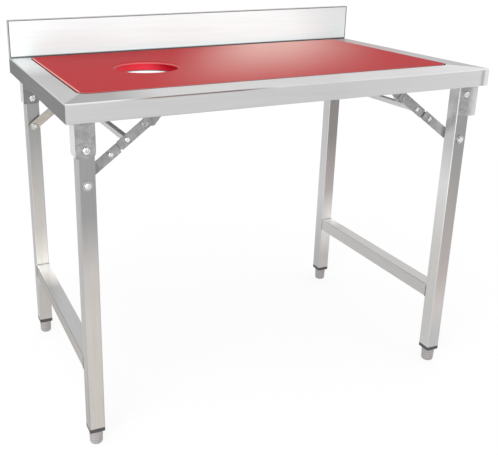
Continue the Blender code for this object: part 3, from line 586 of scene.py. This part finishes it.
# Painted dark reflection on the left apron
LEFT_APRON = ((0.0, 120), (0.6, 112), (1.0, 94))
# Painted pink reflection of the red board towards the right rim's rear
RIGHT_TOP = ((0.4, 173), (0.6, (171, 155, 154)))
# Painted reflection across the splashback's front, lighter in the middle
SPLASH_FRONT = ((0.0, (222, 231, 231)), (0.3, (235, 250, 250)), (0.78, (234, 246, 247)),
                (1.0, (210, 215, 215)))
PLAIN = ((0.0, 190), (1.0, 190))
# Painted highlight towards the rear ends of the crossbar tops
LEFT_BAR_TOP = ((0.08, 190), (0.66, 184), (0.76, (232, 230, 224)), (0.84, 255))
LEFT_BAR_SIDES = ((0.1, (164, 159, 154)), (0.5, (143, 139, 135)))
RIGHT_BAR_TOP = ((0.8, (196, 194, 192)), (0.88, 236), (0.94, 255))
RIGHT_BAR_SIDES = ((0.0, (190, 188, 186)), (1.0, (196, 194, 192)))
# Painted reflection and shade up each leg: darker near the top, under the tabletop, with painted bright bands
# lower down on the rear legs
LEG_FRONTS = {
    "front_left": ((0.4, (205, 199, 193)), (0.56, (199, 194, 190)), (0.73, 158)),
    "rear_left": ((0.2, (190, 186, 181)), (0.3, (255, 252, 246)), (0.43, (210, 205, 200)), (0.82, 162)),
    "front_right": ((0.1, 190), (0.22, (203, 198, 196)), (0.34, (185, 177, 173)), (0.8, 156)),
    "rear_right": ((0.12, (188, 184, 182)), (0.28, (236, 233, 230)), (0.42, (180, 174, 171)),
                   (0.66, (146, 140, 139))),
}
# Painted reflection and shade up each leg's sides
LEG_SIDES = {
    "front_left": ((0.1, 164), (0.3, (180, 178, 176)), (0.75, 176)),
    "rear_left": ((0.05, 184), (0.8, 172)),
    "front_right": ((0.1, (200, 199, 197)), (0.45, (208, 207, 204)), (0.66, 224), (0.8, 200)),
    "rear_right": ((0.1, 184), (0.4, 206), (0.7, 196)),
}
# Painted shade: the rear rim's top is kept dark, for a dark line at the foot of the splashback
REAR_TOP = ((0.0, 150), (1.0, 150))
PAN_SIDES = ((0.0, 120), (1.0, 120))

BRACE_BOLT = bright_steel("washer_fasteners", tone(200),
                          washer=abs(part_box("front_left_brace_bolt")[0][1]) - BRACE_HEAD)
SHADED_BOLT = bright_steel("shaded_fasteners", tone(96), tone(50), tone(250))

FINISHES = {
    "front_rim": brushed_sheet("front_rim_steel", "x", FRONT_TOP, FRONT_APRON, fold=FRONT_FOLD_REFLECTION),
    "rear_rim": brushed_sheet("rear_rim_steel", "x", REAR_TOP, PLAIN),
    "left_rim": brushed_sheet("left_rim_steel", "y", LEFT_TOP, LEFT_APRON, tint=0.75),
    "right_rim": brushed_sheet("right_rim_steel", "y", RIGHT_TOP, PLAIN),
    "tray_pan": brushed_sheet("pan_steel", "x", PLAIN, PAN_SIDES),
    "splashback": splash_sheet(),
    "left_crossbar": crossbar_steel("left_crossbar_steel", LEFT_BAR_TOP, LEFT_BAR_SIDES),
    "right_crossbar": crossbar_steel("right_crossbar_steel", RIGHT_BAR_TOP, RIGHT_BAR_SIDES),
    "zinc": galvanised("galvanised_sheet"),
    # Lit and shaded copies of the zinc: painted highlights on the front right bracket and at the front right
    # lower link's end, painted shade on the rear left bracket, painted warm light on the rear left lower link
    "front_right_bracket": galvanised("edge_lit_zinc", edge=tone(216), highlight_x=(0.458, 0.49)),
    "rear_left_bracket": galvanised("shaded_zinc", tone(158), tone(88), tone(210)),
    "rear_left_lower_link": galvanised("lit_warm_zinc", tone(196, 190, 181), tone(160, 154, 146), tone(210)),
    "front_right_lower_link": galvanised("lit_link_end_zinc", highlight_x=(0.40, 0.45)),
    "bolt": bright_steel("bright_fasteners", tone(170)),
    "rear_left_pivot_bolt": SHADED_BOLT,
    "rear_left_brace_bolt": SHADED_BOLT,
    "front_left_brace_bolt": BRACE_BOLT,
    "front_right_brace_bolt": BRACE_BOLT,
    "rear_right_brace_bolt": BRACE_BOLT,
    "board": red_plastic(),
    "plug": moulded("black_plug", tone(62), 0.42),
    "foot": moulded("grey_foot", tone(156, 152, 151), 0.4, FOOT_RINGS),
    "weld": weld_steel(),
}
for corner in CORNERS:
    FINISHES[corner + "_leg"] = leg_steel(corner + "_leg_steel", LEG_FRONTS[corner], LEG_SIDES[corner])

KINDS = (("leg_plug", "plug"), ("foot", "foot"), ("bolt", "bolt"), ("rivet", "bolt"), ("board", "board"))


def finish_of(node):
    """The finish of a CAD node: its own, or that of its kind, or else plain zinc."""
    if node in FINISHES:
        return FINISHES[node]
    for ending, finish in KINDS:
        if node.endswith(ending):
            return FINISHES[finish]
    return FINISHES["zinc"]


def dress_nodes():
    for name, piece in NODES.items():
        piece.data.materials.clear()
        piece.data.materials.append(finish_of(name))


# Small pieces that the solids leave out

RING_POINTS = 96
WIRE_ROUNDING = 2
BEAD_RADIUS = 0.0013
BEAD_SQUARE = 14
BEAD_RIPPLES = 40
BEAD_RIPPLE_SHARE = 0.22
RIVET_RING = 0.0046
RIVET_WIRE = 0.0005
RIVET_SINK = 0.00035
ROUND = 2
ANCHOR_PIVOT_X = 0.322
ANCHOR_PIVOT_Z = 0.711


def ring(name, centre, half, power, wire, ripples, body, finish):
    """A closed wire in an upright plane: a power of 2 makes it round, a high one square."""
    curve = bpy.data.curves.new(name, "CURVE")
    curve.dimensions = "3D"
    curve.bevel_depth = wire
    curve.bevel_resolution = WIRE_ROUNDING
    spline = curve.splines.new("POLY")
    spline.points.add(RING_POINTS - 1)
    spline.use_cyclic_u = True
    for index, point in enumerate(spline.points):
        angle = math.tau * index / RING_POINTS
        across, up = math.cos(angle), math.sin(angle)
        reach = half / (abs(across) ** power + abs(up) ** power) ** (1 / power)
        point.co = (centre[0] + reach * across, centre[1], centre[2] + reach * up, 1)
        point.radius = 1 + BEAD_RIPPLE_SHARE * math.cos(angle * ripples) if ripples else 1
    piece = bpy.data.objects.new(name, curve)
    bpy.context.scene.collection.objects.link(piece)
    curve.materials.append(finish)
    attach(piece, body)


def middle(box, axis):
    return (box[0][axis] + box[1][axis]) / 2


def add_welds():
    """A rippled bead round each end of each crossbar, where it meets the leg."""
    for side in SIDES:
        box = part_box(side + "_crossbar")
        half = (box[1][0] - box[0][0]) / 2
        for end, y in zip(ENDS, (box[0][1], box[1][1])):
            ring(end + "_" + side + "_weld", (middle(box, 0), y, middle(box, 2)), half, BEAD_SQUARE,
                 BEAD_RADIUS, BEAD_RIPPLES, side + "_leg_frame", FINISHES["weld"])


def add_rivet_rings():
    """The rim of the flush rivet in each upper link's end, sunk so far that the lower link folds past it."""
    for side, way in zip(SIDES, (-1, 1)):
        for end, face, sink in zip(ENDS, (0, 1), (RIVET_SINK, -RIVET_SINK)):
            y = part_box(end + "_" + side + "_upper_link")[face][1] + sink
            ring(end + "_" + side + "_anchor_rivet", (way * ANCHOR_PIVOT_X, y, ANCHOR_PIVOT_Z),
                 RIVET_RING, ROUND, RIVET_WIRE, 0, side + "_upper_links",
                 FINISHES["bolt"])


# Studio

def place_camera():
    camera = bpy.data.objects.new("camera", bpy.data.cameras.new("camera"))
    bpy.context.scene.collection.objects.link(camera)
    camera.matrix_world = (Matrix.Translation(CAMERA_PLACE) @ Matrix.Rotation(-CAMERA_YAW, 4, "Z")
                           @ Matrix.Rotation(math.pi / 2 - CAMERA_PITCH, 4, "X")
                           @ Matrix.Rotation(CAMERA_ROLL, 4, "Z"))
    camera.data.lens = CAMERA_LENS
    camera.data.shift_x, camera.data.shift_y = CAMERA_SHIFT
    camera.data.clip_end = FLOOR_SIZE * 2
    bpy.context.scene.camera = camera


def seen_directly(nodes):
    """1 for the camera's rays and for those that metal and glass send on, else 0."""
    path = nodes.add("LightPath")
    outputs = path.socket.node.outputs
    rays = [Wire(nodes, outputs[name]) for name in ("Is Camera Ray", "Is Glossy Ray", "Is Transmission Ray")]
    return (rays[0] + rays[1] + rays[2]).clamped()


def light_world():
    world = bpy.data.worlds.new("white_studio")
    bpy.context.scene.world = world
    world.use_nodes = True
    nodes = Nodes(world.node_tree)
    seen = seen_directly(nodes)
    strength = WORLD_LIGHT + seen * (1.0 - WORLD_LIGHT)
    glow = nodes.add("Background", None, {"Color": WHITE, "Strength": strength})
    nodes.add("OutputWorld", None, {"Surface": glow})


def lay_floor():
    """A white floor that keeps a faint shadow near the table."""
    mesh = bpy.data.meshes.new("floor")
    half = FLOOR_SIZE / 2
    corners = [(-half, -half, 0), (half, -half, 0), (half, half, 0), (-half, half, 0)]
    mesh.from_pydata(corners, [], [(0, 1, 2, 3)])
    floor = bpy.data.objects.new("floor", mesh)
    bpy.context.scene.collection.objects.link(floor)
    surface = bpy.data.materials.new("floor_white")
    surface.use_nodes = True
    nodes = Nodes(surface.node_tree)
    seen = seen_directly(nodes)
    paint = nodes.add("BsdfDiffuse", None, {"Color": FLOOR_PAINT})
    glow = nodes.add("Emission", None, {"Color": WHITE, "Strength": FLOOR_WHITE})
    x, y = nodes.parts(nodes.add("TexCoord", out="Object"))[:2]
    far = (x * x + y * y).ramp(FLOOR_NEAR ** 2, FLOOR_FAR ** 2)
    share = seen * (FLOOR_GLOW + far * (1 - FLOOR_GLOW))
    both = nodes.add("MixShader", None, {0: share, 1: paint, 2: glow})
    nodes.add("OutputMaterial", None, {"Surface": both})
    mesh.materials.append(surface)


def hang_lamp(name, place, aim, size, power):
    lamp = bpy.data.lights.new(name, "AREA")
    lamp.shape = "RECTANGLE"
    lamp.size, lamp.size_y = size
    lamp.energy = power
    holder = bpy.data.objects.new(name, lamp)
    bpy.context.scene.collection.objects.link(holder)
    holder.location = place
    holder.rotation_euler = (Vector(aim) - Vector(place)).to_track_quat("-Z", "Y").to_euler()


place_camera()
light_world()
lay_floor()
for lamp in LAMPS:
    hang_lamp(*lamp)
dress_nodes()
add_welds()
add_rivet_rings()

bpy.context.scene.view_settings.view_transform = "Standard"
